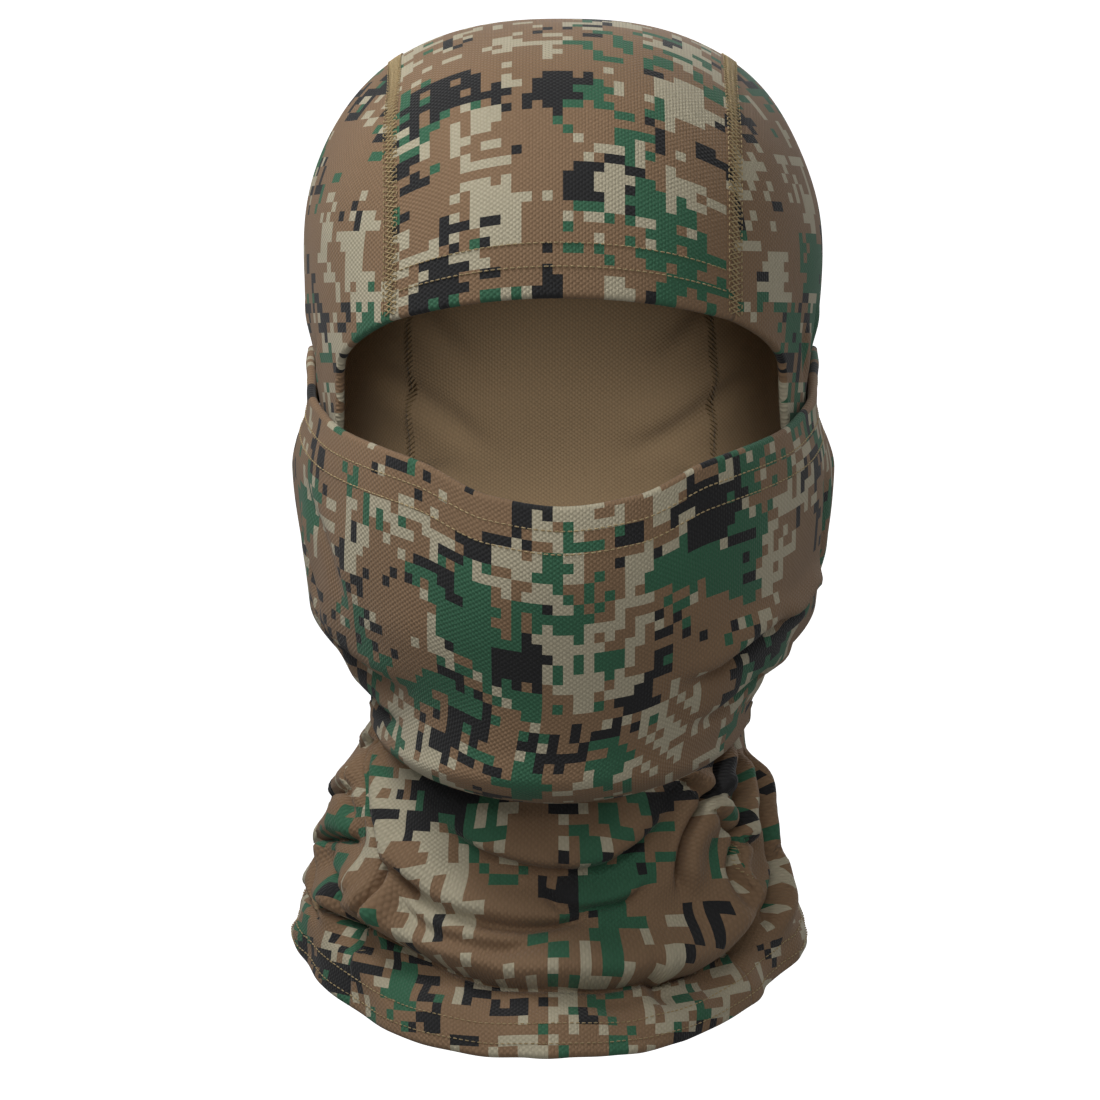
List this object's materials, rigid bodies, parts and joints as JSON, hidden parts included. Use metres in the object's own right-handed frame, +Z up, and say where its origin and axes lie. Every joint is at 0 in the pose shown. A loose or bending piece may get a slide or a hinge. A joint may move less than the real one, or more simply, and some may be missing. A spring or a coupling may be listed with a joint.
{
  "type": "camouflage balaclava",
  "caption": "Stretch-knit hood and neck tube in digital camouflage with an eye opening and a lower-face mask that pulls down under the chin.",
  "frame": {"origin": "middle of the flat patch inside the crown, where the hood rests on the head", "axes": "+Z up, the face looks along -Y, +X is the wearer's left"},
  "size_m": [0.1644, 0.2097, 0.3037],
  "materials": {
    "camo_cloth": "fine-ribbed stretch knit printed with brown, tan, green and black pixel camouflage",
    "cloth_reverse": "plain brown reverse of the knit",
    "khaki_thread": "khaki sewing thread"
  },
  "bodies": {
    "hood": {"crown_panel": "camo_cloth", "left_side_panel": "camo_cloth", "right_side_panel": "camo_cloth", "brow_hem_fold": "cloth_reverse", "brow_stitch_lower": "khaki_thread", "brow_stitch_upper": "khaki_thread", "left_crown_seam": "khaki_thread", "right_crown_seam": "khaki_thread", "neck_front_panel": "camo_cloth", "left_neck_seam": "khaki_thread", "right_neck_seam": "khaki_thread", "neck_hem_fold": "cloth_reverse", "neck_stitch_lower": "khaki_thread", "neck_stitch_upper": "khaki_thread", "left_mask_seam": "cloth_reverse", "right_mask_seam": "cloth_reverse"},
    "mask": {"face_mask_panel": "camo_cloth", "mask_hem_fold": "cloth_reverse", "mask_stitch_upper": "khaki_thread", "mask_stitch_lower": "khaki_thread"}
  },
  "joints": [
    {"name": "mask_pull_down", "type": "hinge", "parent": "hood", "child": "mask", "pos_m": [0, 0.0086, -0.0982], "axis": [1, 0, 0], "range_deg": [0, 24], "deforming": ["face_mask_panel", "mask_hem_fold", "mask_stitch_upper", "mask_stitch_lower"]}
  ]
}
